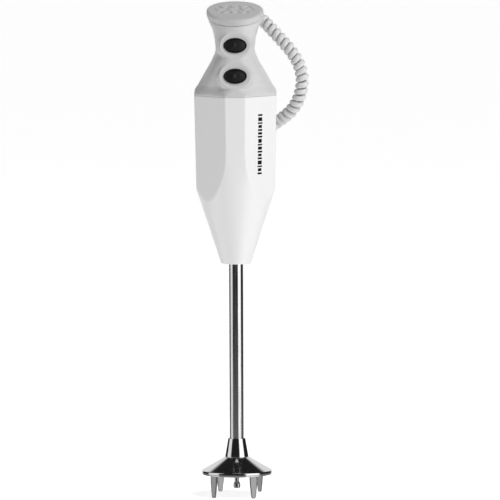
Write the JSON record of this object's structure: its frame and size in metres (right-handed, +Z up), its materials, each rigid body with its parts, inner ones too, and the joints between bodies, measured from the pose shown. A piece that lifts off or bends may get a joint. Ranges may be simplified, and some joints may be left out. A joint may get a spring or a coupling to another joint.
{
  "type": "immersion blender",
  "caption": "Hand-held immersion blender: faceted body, long steel shaft, pronged guard, two push buttons and a curly mains lead.",
  "frame": {"origin": "centre of the plane that the four prong tips stand on, on the shaft's axis", "axes": "+Z up along the shaft towards the cap, -Y out of the front with the buttons, +X to the right as seen from the front"},
  "size_m": [0.0921, 0.1117, 0.3949],
  "materials": {
    "polished_steel": "polished stainless steel",
    "shaft_steel": "ground steel",
    "bronze": "sintered bronze",
    "black_rubber": "matt moulded rubber",
    "zinc": "die cast, satin",
    "white_plastic": "gloss",
    "nylon": "natural nylon",
    "dark_plastic": "matt",
    "laminations": "stacked sheet",
    "copper": "enamelled wire",
    "brass": "stamped sheet",
    "carbon": "pressed carbon",
    "fasteners": "zinc plated",
    "yellow_plastic": "potted case",
    "grey_plastic": "fine satin",
    "grey_cap": "fine satin",
    "black_gloss": "gloss",
    "cord_plastic": "soft satin sheath",
    "tie_fabric": "hook and loop tape",
    "plug_plastic": "moulded",
    "plug_metal": "nickel plated"
  },
  "bodies": {
    "casing": {"guard_dish": "polished_steel", "guard_hub": "polished_steel", "shaft_tube": "polished_steel", "lower_bush": "bronze", "lip_seal": "black_rubber", "upper_bush": "bronze", "tube_nut": "zinc", "tube_seal_ring": "black_rubber", "body_shell": "white_plastic", "seam_gasket": "black_rubber", "lower_bracket": "zinc", "lower_bearing": "bronze", "stator_core": "laminations", "field_coils": "copper", "upper_bracket": "zinc", "upper_bearing": "bronze", "motor_bolts": "fasteners", "motor_screws": "fasteners", "brush_holders": "brass", "carbon_brushes": "carbon", "brush_springs": "fasteners", "capacitor": "yellow_plastic", "head_shell": "grey_plastic", "head_screws": "fasteners", "top_cap": "grey_cap", "upper_bezel": "black_gloss", "lower_bezel": "black_gloss", "upper_switch": "dark_plastic", "lower_switch": "dark_plastic", "switch_carrier": "nylon", "speed_diode": "dark_plastic", "terminal_block": "nylon", "clamp_bar": "nylon", "clamp_screws": "fasteners", "lead_end": "cord_plastic", "strain_relief": "cord_plastic", "curly_cord": "cord_plastic", "cord_hank": "cord_plastic", "cord_tail": "cord_plastic", "cord_tie": "tie_fabric", "plug_body": "plug_plastic", "plug_pins": "plug_metal"},
    "drive_train": {"drive_shaft": "shaft_steel", "thrust_collar": "shaft_steel", "coupling": "nylon", "cooling_fan": "dark_plastic", "motor_shaft": "shaft_steel", "armature_core": "laminations", "armature_winding": "copper", "commutator": "copper"},
    "upper_key": {"upper_button": "black_rubber", "upper_plunger": "dark_plastic"},
    "lower_key": {"lower_button": "black_rubber", "lower_plunger": "dark_plastic"}
  },
  "joints": [
    {"name": "drive_spin", "type": "hinge", "parent": "casing", "child": "drive_train", "pos_m": [0, 0, 0.2], "axis": [0, 0, 1], "continuous": true},
    {"name": "upper_press", "type": "slide", "parent": "casing", "child": "upper_key", "axis": [0, 0.9698, -0.2439], "range_m": [0, 0.0018], "stiffness_N_per_m": 900, "springref_m": -0.0015},
    {"name": "lower_press", "type": "slide", "parent": "casing", "child": "lower_key", "axis": [0, 0.9698, -0.2439], "range_m": [0, 0.0018], "stiffness_N_per_m": 900, "springref_m": -0.0015}
  ]
}
